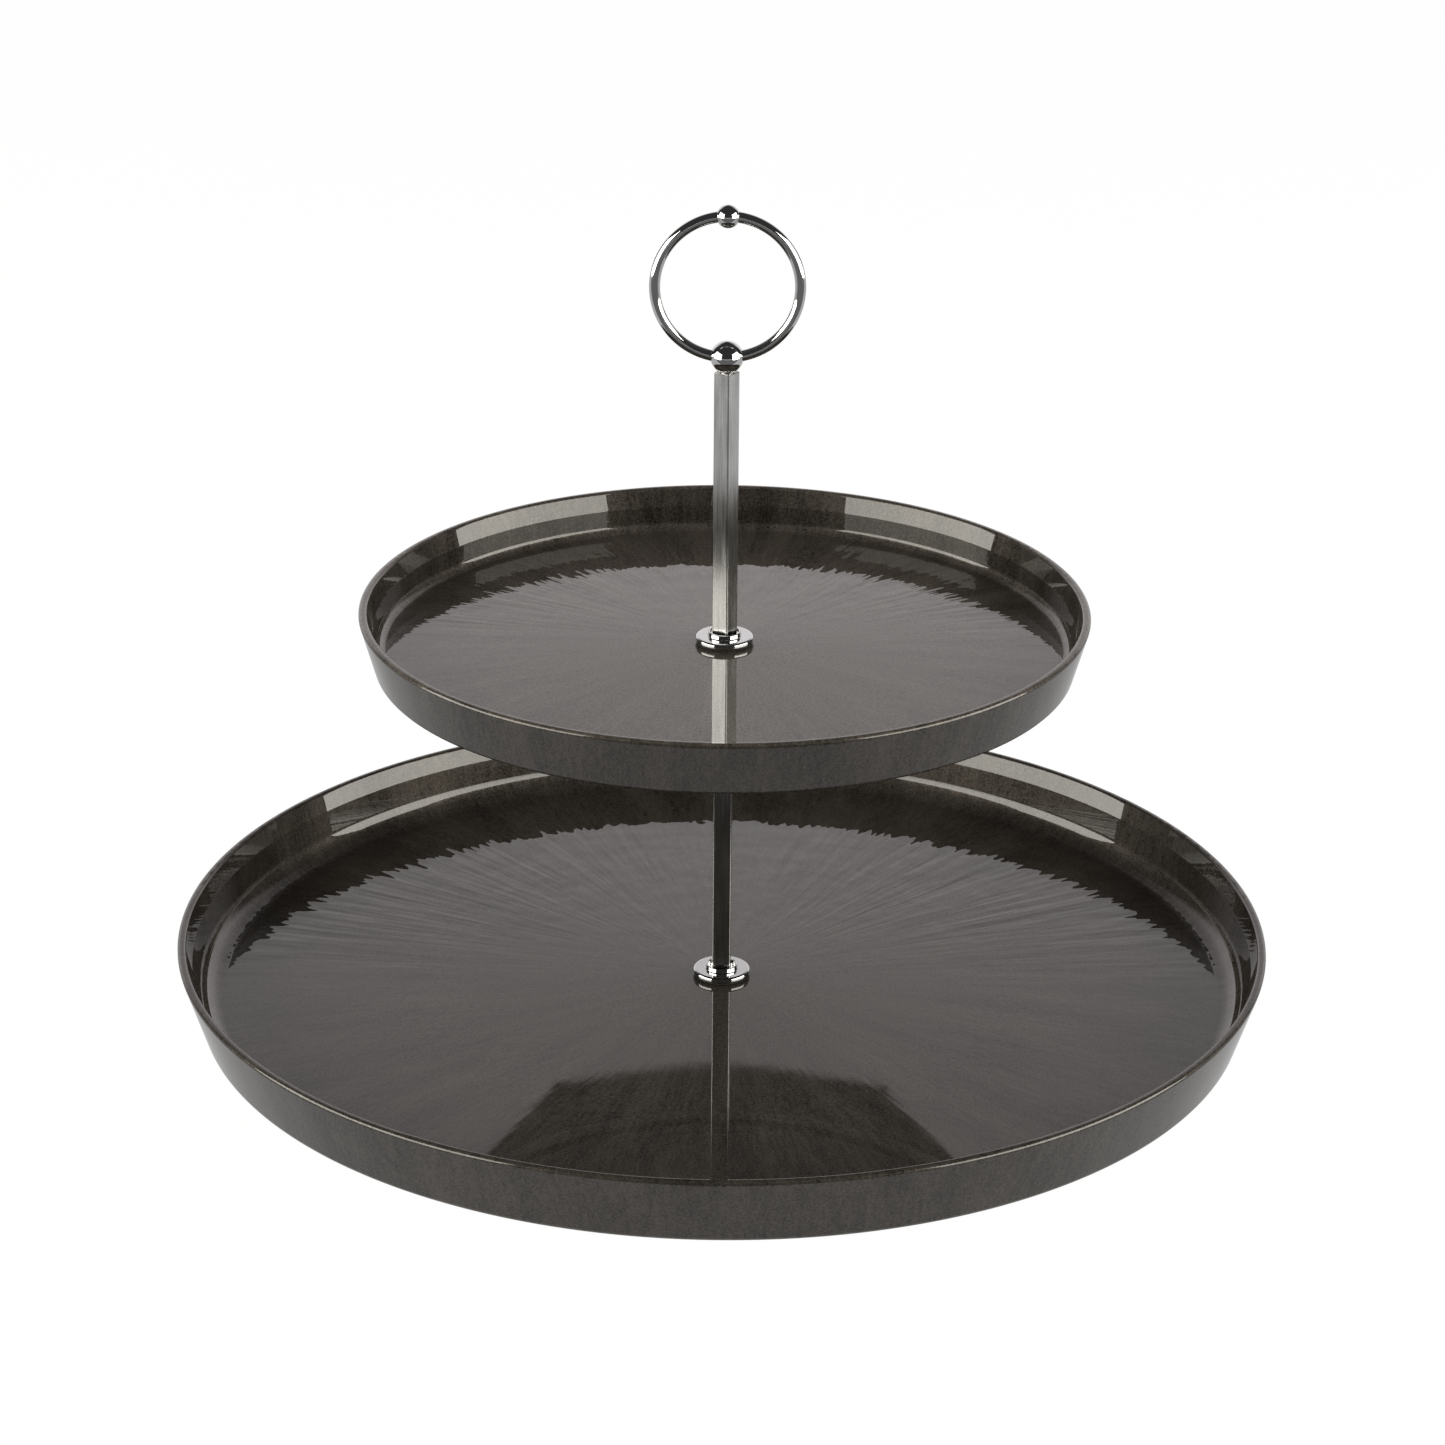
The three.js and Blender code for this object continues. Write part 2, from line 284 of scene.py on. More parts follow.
# Tray lacquer. A facing is how far a surface points up: 1 on a floor and 0 on an upright wall.
LACQUER_STOPS = ((0.10, (0.022, 0.0183, 0.0153)), (0.40, (0.125, 0.108, 0.093)))
GRAIN_SHARE = 0.5
RAY_REACHES = (0.012, 0.09)
RAY_STRENGTHS = (0.04, 0.26)
# Painted light and shade on the paint: floors lighter than walls, as if lit from above, and the lower tier's
# floor darker than the upper one's, as if in the upper tray's shadow.
TIER_SHADE_HEIGHTS = (0.03, 0.1)
TIER_SHADE_TONES = (0.95, 1.7)
WALL_TO_FLOOR_FACINGS = (0.3, 0.95)
WALL_SHADE_TONE = 0.57
STEEP_WALL_FACING = 0.14
STEEP_WALL_MARGINS = (0.08, 0.16)
STEEP_WALL_COATS = (0.5, 1.0)
FRONT_TO_BACK_PLACES = (-0.01, 0.05)
FRONT_TO_BACK_RIPPLES = (0.02, 1.0)
FLOOR_FACINGS = (0.9, 0.99)
WALL_TO_FLOOR_RIPPLES = (0.1, 1.0)
RIDGE_GROWTH = 14
NOISE_MIDDLE = 0.5

# Metal and rubber finishes, from their darker to their lighter patches
CHROME_SHADE = 0.62
CHROME_ROUGHNESS = (0.03, 0.075)
SATIN_COLOURS = ((0.40, 0.40, 0.395), (0.66, 0.66, 0.66))
SATIN_ROUGHNESS = (0.17, 0.27)
SATIN_LINE_SHARE = 0.6
SATIN_BLOTCH_SHARE = 0.4
ZINC_COLOURS = ((0.44, 0.43, 0.38), (0.62, 0.61, 0.58))
ZINC_ROUGHNESS = (0.28, 0.45)
RUBBER_COLOURS = ((0.010, 0.010, 0.010), (0.026, 0.025, 0.024))


class Nodes:
    """A node tree, with short calls for the nodes that the finishes and the room share."""

    def __init__(self, tree):
        self.tree = tree

    def link(self, source, target):
        self.tree.links.new(source, target)

    def feed(self, socket, value):
        """Link the socket to another node's output, or set it to a plain value."""
        if isinstance(value, bpy.types.NodeSocket):
            self.link(value, socket)
        else:
            socket.default_value = value

    def node(self, kind, **settings):
        made = self.tree.nodes.new(kind)
        for name, value in settings.items():
            setattr(made, name, value)
        return made

    def vector(self, operation, first, second=None):
        made = self.node("ShaderNodeVectorMath", operation=operation)
        self.link(first, made.inputs[0])
        if second is not None:
            self.feed(made.inputs[1], second)
        return made.outputs["Value" if operation in ("LENGTH", "DOT_PRODUCT") else "Vector"]

    def scaled(self, vector, factor):
        result = self.vector("SCALE", vector)
        self.feed(result.node.inputs["Scale"], factor)
        return result

    def math(self, operation, first, second=None):
        made = self.node("ShaderNodeMath", operation=operation)
        self.link(first, made.inputs[0])
        if second is not None:
            self.feed(made.inputs[1], second)
        return made.outputs["Value"]

    def noise(self, place, scale=1.0, detail=2.0, roughness=0.5):
        made = self.node("ShaderNodeTexNoise")
        made.inputs["Scale"].default_value = scale
        made.inputs["Detail"].default_value = detail
        made.inputs["Roughness"].default_value = roughness
        self.link(place, made.inputs["Vector"])
        return made.outputs["Fac"]

    def spread(self, value, low, high, to_low=0.0, to_high=1.0, interpolation="LINEAR"):
        """The value moved from the range low..high to the range to_low..to_high, and held inside it."""
        made = self.node("ShaderNodeMapRange", interpolation_type=interpolation)
        self.link(value, made.inputs["Value"])
        for name, number in (("From Min", low), ("From Max", high), ("To Min", to_low), ("To Max", to_high)):
            self.feed(made.inputs[name], number)
        return made.outputs["Result"]

    def mix(self, factor, first, second):
        """A colour between first and second."""
        made = self.node("ShaderNodeMix", data_type="RGBA")
        self.link(factor, made.inputs["Factor"])
        self.feed(made.inputs["A"], first)
        self.feed(made.inputs["B"], second)
        return made.outputs["Result"]


class Shader(Nodes):
    """A material and the calls that shape its surface."""

    def __init__(self, name):
        self.material = bpy.data.materials.new(name)
        self.material.use_nodes = True
        super().__init__(self.material.node_tree)
        self.surface = self.tree.nodes["Principled BSDF"]
        coordinates = self.node("ShaderNodeTexCoord")
        self.place = coordinates.outputs["Object"]
        self.normal = coordinates.outputs["Normal"]

    def set(self, **values):
        for name, value in values.items():
            self.surface.inputs[name.replace("_", " ")].default_value = value

    def drive(self, name, source):
        self.link(source, self.surface.inputs[name])

    def ramp(self, value, stops):
        """A colour between two stops, each a (position, colour) pair."""
        made = self.node("ShaderNodeValToRGB")
        for element, (position, colour) in zip(made.color_ramp.elements, stops):
            element.position = position
            element.color = (*colour, 1)
        self.link(value, made.inputs["Fac"])
        return made.outputs["Color"]

    def patches(self, value, colours):
        """The darker and the lighter colour, spread over a noise's usual values."""
        return self.ramp(value, zip(NOISE_RANGE, colours))

    def bump(self, height, depth_mm, socket="Normal"):
        made = self.node("ShaderNodeBump")
        made.inputs["Strength"].default_value = 1
        made.inputs["Distance"].default_value = depth_mm * MM
        self.link(height, made.inputs["Height"])
        self.drive(socket, made.outputs["Normal"])

    def around(self, per_radian, along_mm):
        """Places that run round the column and out from it, so that noise read there makes rays.

        per_radian is how many grains fit in one radian, and along_mm is how long a grain is."""
        flat = self.vector("MULTIPLY", self.place, LEVEL)
        circle = self.scaled(self.vector("NORMALIZE", flat), per_radian)
        travel = self.math("ADD", self.vector("LENGTH", flat), self.vector("DOT_PRODUCT", self.place, UP))
        lift = self.node("ShaderNodeCombineXYZ")
        self.link(self.math("MULTIPLY", travel, 1 / (along_mm * MM)), lift.inputs["Z"])
        return self.vector("ADD", circle, lift.outputs["Vector"])


def brushed_paint(s, reach, facing_up, fine):
    """Paint with rays that grow stronger away from the column, with painted shade: walls darker than floors,
    as if the floors were lit from above, and the lower tier's floor darker, as if in the upper tray's shadow.
    """
    broad = s.noise(s.around(per_radian=11, along_mm=60), detail=2)
    grain = s.noise(s.place, scale=1500, detail=2)
    rays = s.math("SUBTRACT", s.math("ADD", fine, broad), 2 * NOISE_MIDDLE)
    brushed = s.math("MULTIPLY", rays, s.spread(reach, *RAY_REACHES, *RAY_STRENGTHS))
    tone = s.math("ADD", brushed, s.math("MULTIPLY", grain, GRAIN_SHARE))
    # Painted light and shade: the height of the tier and the way the surface faces set how light the paint
    # is.
    floor_painted_light = s.spread(s.vector("DOT_PRODUCT", s.place, UP), *TIER_SHADE_HEIGHTS, *TIER_SHADE_TONES)
    shade = s.spread(facing_up, *WALL_TO_FLOOR_FACINGS, WALL_SHADE_TONE, floor_painted_light)
    return s.scaled(s.ramp(tone, LACQUER_STOPS), shade)


def coat_relief(s, reach, facing_up):
    """Soft ripples in the clear coat, mostly on the back half of each floor."""
    ridges = s.math("SUBTRACT", s.noise(s.around(per_radian=30, along_mm=32), detail=1), NOISE_MIDDLE)
    swell = s.math("SUBTRACT", s.noise(s.around(per_radian=7, along_mm=9), detail=1), NOISE_MIDDLE)
    relief = s.math("ADD", s.math("MULTIPLY", ridges, s.math("MULTIPLY", reach, RIDGE_GROWTH)), swell)
    to_the_back = s.vector("DOT_PRODUCT", s.place, BACKWARDS)
    back = s.spread(to_the_back, *FRONT_TO_BACK_PLACES, *FRONT_TO_BACK_RIPPLES)
    floor_only = s.math("MULTIPLY", back, s.spread(facing_up, *FLOOR_FACINGS, *WALL_TO_FLOOR_RIPPLES))
    return s.math("MULTIPLY", relief, floor_only)


def tray_lacquer():
    """Dark metallic paint brushed in rays from the middle, under a thick clear coat with soft ripples."""
    s = Shader("tray_lacquer")
    s.set(Metallic=0.6, Roughness=0.45, Specular_IOR_Level=0.0, Specular_Tint=(0.5, 0.5, 0.5, 1))
    s.set(Coat_Roughness=0.015, Coat_IOR=1.5)
    reach = s.vector("LENGTH", s.vector("MULTIPLY", s.place, LEVEL))
    facing_up = s.vector("DOT_PRODUCT", s.normal, UP)
    fine = s.noise(s.around(per_radian=85, along_mm=8), detail=3, roughness=0.6)
    s.drive("Base Color", brushed_paint(s, reach, facing_up, fine))
    s.bump(fine, depth_mm=0.02)
    off_wall = s.math("ABSOLUTE", s.math("SUBTRACT", facing_up, STEEP_WALL_FACING))
    s.drive("Coat Weight", s.spread(off_wall, *STEEP_WALL_MARGINS, *STEEP_WALL_COATS))
    s.bump(coat_relief(s, reach, facing_up), depth_mm=0.11, socket="Coat Normal")
    return s.material


def chrome():
    """Bright plating with a faint haze."""
    s = Shader("chrome")
    s.set(Metallic=1.0, Base_Color=(CHROME_SHADE, CHROME_SHADE, CHROME_SHADE, 1))
    haze = s.noise(s.place, scale=260, detail=3)
    s.drive("Roughness", s.spread(haze, *NOISE_RANGE, *CHROME_ROUGHNESS))
    s.bump(s.noise(s.place, scale=420, detail=2), depth_mm=0.01)
    return s.material


def satin_tube():
    """Drawn tube: fine lines run along it."""
    s = Shader("satin_tube")
    s.set(Metallic=1.0, Anisotropic=0.3)
    lines = s.noise(s.vector("MULTIPLY", s.place, (1, 1, 0.02)), scale=2600, detail=3)
    blotch = s.noise(s.vector("MULTIPLY", s.place, (1, 1, 0.25)), scale=300, detail=2)
    tone = s.math("ADD", s.math("MULTIPLY", lines, SATIN_LINE_SHARE),
                  s.math("MULTIPLY", blotch, SATIN_BLOTCH_SHARE))
    s.drive("Base Color", s.patches(tone, SATIN_COLOURS))
    s.drive("Roughness", s.spread(tone, *NOISE_RANGE, *SATIN_ROUGHNESS))
    s.bump(lines, depth_mm=0.01)
    return s.material


def zinc_plate():
    """Cloudy yellowish plating on the screws and bushes."""
    s = Shader("zinc_plate")
    s.set(Metallic=1.0)
    cloud = s.noise(s.place, scale=700, detail=4)
    s.drive("Base Color", s.patches(cloud, ZINC_COLOURS))
    s.drive("Roughness", s.spread(cloud, *NOISE_RANGE, *ZINC_ROUGHNESS))
    s.bump(s.noise(s.place, scale=2500, detail=2), depth_mm=0.01)
    return s.material


def gasket_rubber():
    """Matt black rubber with a fine grain."""
    s = Shader("gasket")
    s.set(Roughness=0.7)
    grain = s.noise(s.place, scale=3000, detail=3)
    s.drive("Base Color", s.patches(grain, RUBBER_COLOURS))
    s.bump(grain, depth_mm=0.03)
    return s.material


def glowing_paper(name, shade, glow):
    """Matt paper that gives off an even white glow."""
    s = Shader(name)
    s.set(Roughness=1.0, Base_Color=(shade, shade, shade, 1), Specular_IOR_Level=0.0)
    s.set(Emission_Color=WHITE, Emission_Strength=glow)
    return s.material


# ---------------------------------------------------------------- pieces

def wall_reach(depth, wall_lean, cove_radius):
    """How far in from the lip the floor ends, for a floor that lies this deep below the rim."""
    cove_height = cove_radius * (1 - math.sin(wall_lean))
    wall_height = depth - FLARE_DEPTH - cove_height
    return (FLARE_DEPTH * math.tan(FLARE_LEAN) + wall_height * math.tan(wall_lean)
            + cove_radius * math.cos(wall_lean))


def tray_outline(node):
    """Foot, leaning outer wall, round lip, flared inner wall, cove and gently falling floor."""
    low, high = node_box(node)
    rim = high.x
    height = high.z - low.z
    base = base_radius(node)
    foot_outer = base - FOOT_INSET
    foot_inner = foot_outer - FOOT_WIDTH
    lip_inner = rim - LIP_THICKNESS
    wall_lean = WALL_LEANS[node]
    cove_radius = COVE_RADII[node]
    flat_floor_edge = lip_inner - wall_reach(height - FLOOR_TOP, wall_lean, cove_radius)
    floor_drop = (flat_floor_edge - SEAT_RADIUS) * FLOOR_FALL
    floor_edge = lip_inner - wall_reach(height - FLOOR_TOP + floor_drop, wall_lean, cove_radius)
    floor_z = FLOOR_TOP - floor_drop
    outer_slope = (rim - base) / height
    rim_corner = rim + LIP_ROUND * (outer_slope + math.hypot(1, outer_slope) - 1)
    kink_radius = lip_inner - FLARE_DEPTH * math.tan(FLARE_LEAN)
    cove_top = (floor_edge + cove_radius * math.cos(wall_lean),
                floor_z + cove_radius * (1 - math.sin(wall_lean)), 0)
    shell = rounded([
        (TRAY_HOLE_RADIUS, UNDERSIDE, HOLE_EDGE),
        (SEAT_RADIUS, UNDERSIDE, 0),
        (foot_inner - FOOT_SLOPE, UNDERSIDE - floor_drop, FOOT_FILLET),
        (foot_inner, 0, FOOT_INNER_EDGE),
        (foot_outer, 0, FOOT_OUTER_EDGE),
        (rim_corner, height, LIP_ROUND),
        (lip_inner, height, LIP_ROUND),
        (kink_radius, height - FLARE_DEPTH, FLARE_KINK),
        cove_top,
        (SEAT_RADIUS, FLOOR_TOP, 0),
        (TRAY_HOLE_RADIUS, FLOOR_TOP, HOLE_EDGE),
    ])
    cove = []
    for k in range(1, COVE_STEPS + 1):
        angle = wall_lean + (math.pi / 2 - wall_lean) * k / COVE_STEPS
        across = floor_edge + cove_radius * math.cos(angle)
        cove.append((across, floor_z + cove_radius * (1 - math.sin(angle))))
    # After the cove come the shell's last two corners: the seat's one point and the hole's arc.
    after_cove = ARC_STEPS + 2
    outline = shell[:-after_cove] + cove + shell[-after_cove:]
    return [(radius, low.z + z) for radius, z in outline]


def base_radius(node):
    """The outer radius of a CAD tray's foot, where its wall starts to lean out."""
    low, _ = node_box(node)
    radii = [
        math.hypot(v.co.x, v.co.y) / MM
        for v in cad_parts[node].data.vertices
        if v.co.z / MM < low.z + BASE_RISE
    ]
    return max(radii)


def flange_outline(bottom_z):
    """A disc with a low hub, hollow so that the post stands on the thin web inside it."""
    low, high = node_box("lower_flange")
    corners = [
        (SCREW_CLEARANCE_RADIUS, 0, WEB_EDGE),
        (high.x, 0, FLANGE_LOWER_EDGE),
        (high.x, FLANGE_THICKNESS, FLANGE_UPPER_EDGE),
        (HUB_RADIUS, FLANGE_THICKNESS, HUB_EDGE),
        (HUB_RADIUS, high.z - low.z, HUB_EDGE),
        (HUB_BORE_RADIUS, high.z - low.z, FINE_EDGE),
        (HUB_BORE_RADIUS, FLANGE_WEB, WEB_EDGE),
        (SCREW_CLEARANCE_RADIUS, FLANGE_WEB, WEB_EDGE),
    ]
    return [(radius, bottom_z + z) for radius, z in rounded(corners)]


def gasket_outline(node):
    """A disc with a hole, with its edges rounded."""
    low, high = node_box(node)
    return rounded([
        (SCREW_CLEARANCE_RADIUS, low.z, FINE_EDGE),
        (high.x, low.z, FINE_EDGE),
        (high.x, high.z, FINE_EDGE),
        (SCREW_CLEARANCE_RADIUS, high.z, FINE_EDGE),
    ])


def thread_mesh(name, low_z, high_z):
    """A rod with a right-hand thread, tapered at both ends."""
    sides = THREAD_SIDES
    rows = round((high_z - low_z) / THREAD_PITCH * THREAD_ROWS_PER_PITCH)
    vertices, faces = [], []
    for k in range(rows + 1):
        z = low_z + (high_z - low_z) * k / rows
        taper = min(1, min(z - low_z, high_z - z) / THREAD_PITCH)
        for i in range(sides):
            turn = i / sides
            phase = ((z - low_z) / THREAD_PITCH - turn) % 1
            ridge = 1 - abs(2 * phase - 1)
            crest = THREAD_ROOT_RADIUS + (THREAD_CREST_RADIUS - THREAD_ROOT_RADIUS) * taper
            root = THREAD_ROOT_RADIUS - THREAD_END_TAPER * (1 - taper)
            radius = root + (crest - THREAD_ROOT_RADIUS) * ridge
            angle = 2 * math.pi * turn
            vertices.append(Vector((radius * math.cos(angle), radius * math.sin(angle), z)) * MM)
    for k in range(rows):
        for i in range(sides):
            j = (i + 1) % sides
            faces.append((k * sides + i, k * sides + j, (k + 1) * sides + j, (k + 1) * sides + i))
    faces.append(tuple(reversed(range(sides))))
    faces.append(tuple(range(rows * sides, (rows + 1) * sides)))
    mesh = bpy.data.meshes.new(name)
    mesh.from_pydata(vertices, [], faces)
    mesh.validate()
    return smooth(mesh, THREAD_SHARP_ANGLE)


def base_screw_head():
    """The wide thin head with its cross recess. The shank is the threaded rod."""
    low, high = node_box("base_screw")
    head_top = low.z + SCREW_HEAD_HEIGHT
    head = lathe("base_screw_head", rounded([
        (0, low.z, 0),
        (high.x, low.z, SCREW_HEAD_ROUND),
        (high.x, head_top, FINE_EDGE),
        (0, head_top, 0),
    ]), FITTING_SIDES, closed=False)
    for width, depth in ((DRIVE_LENGTH, DRIVE_WIDTH), (DRIVE_WIDTH, DRIVE_LENGTH)):
        tool = block(width, depth, 2 * DRIVE_DEPTH)
        tool.transform(Matrix.Translation((0, 0, low.z * MM)))
        head = cut(head, tool)
    return head


def ball_outline(centre_z, radius, flat_z=None, hole_top=None):
    """A ball, or a ball with a flat seat below and a blind hole in it."""
    if flat_z is None:
        start = -math.pi / 2
        outline = []
    else:
        start = -math.asin((centre_z - flat_z) / radius)
        outline = [(0, hole_top), (STUD_HOLE_RADIUS, hole_top), (STUD_HOLE_RADIUS, flat_z)]
    for k in range(BALL_STEPS + 1):
        angle = start + (math.pi / 2 - start) * k / BALL_STEPS
        on_axis = k == BALL_STEPS or (k == 0 and flat_z is None)
        across = 0 if on_axis else radius * math.cos(angle)
        outline.append((across, centre_z + radius * math.sin(angle)))
    return outline


def build_trays(material):
    for node, body in (("lower_tray", "base"), ("upper_tray", "upper_tier")):
        mesh = lathe(node, tray_outline(node), TRAY_SIDES)
        add_piece(f"{node}_shell", mesh, node, body, material)


def build_flanges(material):
    for node in ("lower_flange", "upper_flange"):
        low, _ = node_box(node)
        mesh = lathe(node, flange_outline(low.z), FITTING_SIDES)
        add_piece(f"{node}_disc", mesh, node, "column", material)
    _, high = node_box("support_flange")
    mesh = lathe("support_flange", flange_outline(0), FITTING_SIDES)
    mesh.transform(Matrix.Translation((0, 0, high.z * MM)) @ Matrix.Rotation(math.pi, 4, "X"))
    add_piece("support_flange_disc", mesh, "support_flange", "column", material)


def square_ring(width, corner):
    """Points round a square with rounded corners and flat sides."""
    points = []
    for quarter in range(4):
        middle = Matrix.Rotation(quarter * math.pi / 2, 2) @ Vector((1, 1)) * (width / 2 - corner)
        for k in range(CORNER_STEPS + 1):
            angle = (quarter + k / CORNER_STEPS) * math.pi / 2
            points.append(middle + Vector((math.cos(angle), math.sin(angle))) * corner)
    return braced(points)


def bar(node, outside, inside, turn):
    """An upright bar as tall as the CAD node, with a hole through it and bevelled outer end edges."""
    low, high = node_box(node)
    shrunk = [point - point.normalized() * FINE_EDGE for point in outside]
    rings = [(inside, low.z), (shrunk, low.z), (outside, low.z + FINE_EDGE),
             (outside, high.z - FINE_EDGE), (shrunk, high.z), (inside, high.z)]
    spin = Matrix.Rotation(turn, 2)
    vertices = [(spin @ point).to_3d() * MM + Vector((0, 0, z * MM)) for ring, z in rings for point in ring]
    count = len(outside)
    faces = []
    for k in range(len(rings)):
        a, b = k * count, (k + 1) % len(rings) * count
        for i in range(count):
            j = (i + 1) % count
            faces.append((a + i, a + j, b + j, b + i))
    mesh = bpy.data.meshes.new(node)
    mesh.from_pydata(vertices, [], faces)
    mesh.validate()
    return smooth(mesh)


def build_posts(material):
    for node, turn in POST_TURNS.items():
        outside = square_ring(POST_WIDTH, POST_CORNER)
        inside = square_ring(POST_WIDTH - 2 * POST_WALL, BORE_CORNER)
        add_piece(f"{node}_tube", bar(node, outside, inside, turn), node, "column", material)


def build_gaskets(material):
    for node, body in (("base_gasket", "base"), ("lower_gasket", "base"),
                       ("support_gasket", "upper_tier"), ("upper_gasket", "upper_tier")):
        mesh = lathe(node, gasket_outline(node), FITTING_SIDES)
        add_piece(f"{node}_ring", mesh, node, body, material)


def build_bushes(material):
    """Square plugs with a round bore, one in each end of each post."""
    plug_width = POST_WIDTH - 2 * POST_WALL - 2 * BUSH_GAP
    for post, turn in POST_TURNS.items():
        for node in (f"{post}_bottom_bush", f"{post}_top_bush"):
            outside = square_ring(plug_width, BORE_CORNER)
            bore = [point.normalized() * BUSH_BORE_RADIUS for point in outside]
            mesh = bar(node, outside, bore, turn)
            add_piece(f"{node}_plug", mesh, node, "column", material)


def build_screws(material):
    for node, body in (("tier_stud", "column"), ("handle_stud", "handle_thread")):
        low, high = node_box(node)
        add_piece(f"{node}_thread", thread_mesh(node, low.z, high.z), node, body, material)
    low, high = node_box("base_screw")
    add_piece("base_screw_head", base_screw_head(), "base_screw", "column", material)
    shank = thread_mesh("base_screw_shank", low.z + SCREW_HEAD_HEIGHT, high.z)
    add_piece("base_screw_shank", shank, "base_screw", "column", material)


def build_handle(material):
    """The wire ring, and the ball and the bead with the ring's seat cut through each."""
    ring_low, ring_high = node_box("handle_ring")
    ball_low, ball_high = node_box("handle_ball")
    _, bead_high = node_box("handle_bead")
    stud_top = node_box("handle_stud")[1].z
    ring_z = (ring_low.z + ring_high.z) / 2
    ring_radius = (ring_high.x - ring_low.x) / 2 - WIRE_RADIUS
    ring = wire_circle("handle_ring", ring_z, ring_radius, WIRE_RADIUS, WIRE_END_GAP)
    add_piece("handle_ring_wire", ring, "handle_ring", "handle", material)

    def seat():
        return wire_circle("seat", ring_z, ring_radius, WIRE_SEAT_RADIUS, 0)

    ball_radius = ball_high.y
    outline = ball_outline(ring_z - ring_radius, ball_radius, ball_low.z, stud_top + STUD_END_GAP)
    ball = cut(lathe("handle_ball", outline, FITTING_SIDES, closed=False), seat())
    add_piece("handle_ball_body", ball, "handle_ball", "handle", material)
    bead_radius = bead_high.y
    bead = lathe("handle_bead", ball_outline(ring_z + ring_radius, bead_radius), FITTING_SIDES, closed=False)
    add_piece("handle_bead_body", cut(bead, seat()), "handle_bead", "handle", material)


# ---------------------------------------------------------------- studio

# Lengths here are in metres. The camera stands in front of the stand and looks down on it a little.
AIM = Vector((0, 0, 0.100))
CAMERA_DISTANCE = 1.2851
CAMERA_ELEVATION = math.radians(21.852)
CAMERA_ROLL = math.radians(0.508)
CAMERA_LENS = 107.33
CAMERA_SHIFT = (-0.0011, -0.0259)

# A softbox stands on each side, this many degrees round from the camera.
SOFTBOX_AZIMUTH = 70.5
SOFTBOX_DISTANCE = 1.5
SOFTBOX_WIDTH = 1.7
SOFTBOX_HEIGHT = 1.08
SOFTBOX_CENTRE_Z = 0.56
SOFTBOX_RADIANCE = 5.8
SOFTBOX_COLOUR = (1, 0.985, 0.91)

# The white sweep fades out from 35 to 50 degrees each way from straight behind, and from 19 to 44 degrees up.
SWEEP_EDGE_COSINES = (0.64, 0.82)
SWEEP_TOP_SINES = (0.70, 0.32)
WHITE_SWEEP = (1.05, 1.01, 1.02, 1)
DARK_ROOM = (0.04, 0.04, 0.04, 1)

# A dark gap opens in the sweep straight behind the stand, from 28 degrees up, and widens with height.
GAP_SINES = (0.4741, 0.60)
GAP_HALF_WIDTHS = (0.049, 0.218)
GAP_BLUR = 0.003

FLOOR_RADIUS = 20
FLOOR_SIDES = 96
FLOOR_SHADE = 0.06
FLOOR_GLOW = 0.97
CARD_SPAN = 4
CARD_EDGE_Y = -0.2
CARD_Z = 0.001
CARD_SHADE = 0.015
# Painted shade seen only in reflections: the table in front of the stand glows this dimly there.
FRONT_SHADE_GLOW = 0.15
# Painted shadow seen only in reflections: the rest of the table glows this much there, as if in the stand's
# shade.
TABLE_SHADOW_GLOW = 0.58


def add_camera():
    data = bpy.data.cameras.new("camera")
    data.lens = CAMERA_LENS
    data.shift_x, data.shift_y = CAMERA_SHIFT
    camera = bpy.data.objects.new("camera", data)
    back = Vector((0, -math.cos(CAMERA_ELEVATION), math.sin(CAMERA_ELEVATION)))
    facing = (-back).to_track_quat("-Z", "Y").to_matrix() @ Matrix.Rotation(CAMERA_ROLL, 3, "Z")
    camera.matrix_world = Matrix.Translation(AIM + back * CAMERA_DISTANCE) @ facing.to_4x4()
    bpy.context.scene.collection.objects.link(camera)
    bpy.context.scene.camera = camera


def add_softbox(side, sign):
    """A level rectangular light that faces the column. sign is -1 on the left and 1 on the right."""
    name = f"softbox_{side}"
    data = bpy.data.lights.new(name, "AREA")
    data.shape = "RECTANGLE"
    data.size = SOFTBOX_WIDTH
    data.size_y = SOFTBOX_HEIGHT
    data.energy = SOFTBOX_RADIANCE * math.pi * SOFTBOX_WIDTH * SOFTBOX_HEIGHT
    data.color = SOFTBOX_COLOUR
    light = bpy.data.objects.new(name, data)
    turn = math.radians(sign * SOFTBOX_AZIMUTH)
    light.location = (SOFTBOX_DISTANCE * math.sin(turn), -SOFTBOX_DISTANCE * math.cos(turn), SOFTBOX_CENTRE_Z)
    light.rotation_euler = Euler((math.pi / 2, 0, turn))
    light.visible_camera = False
    bpy.context.scene.collection.objects.link(light)


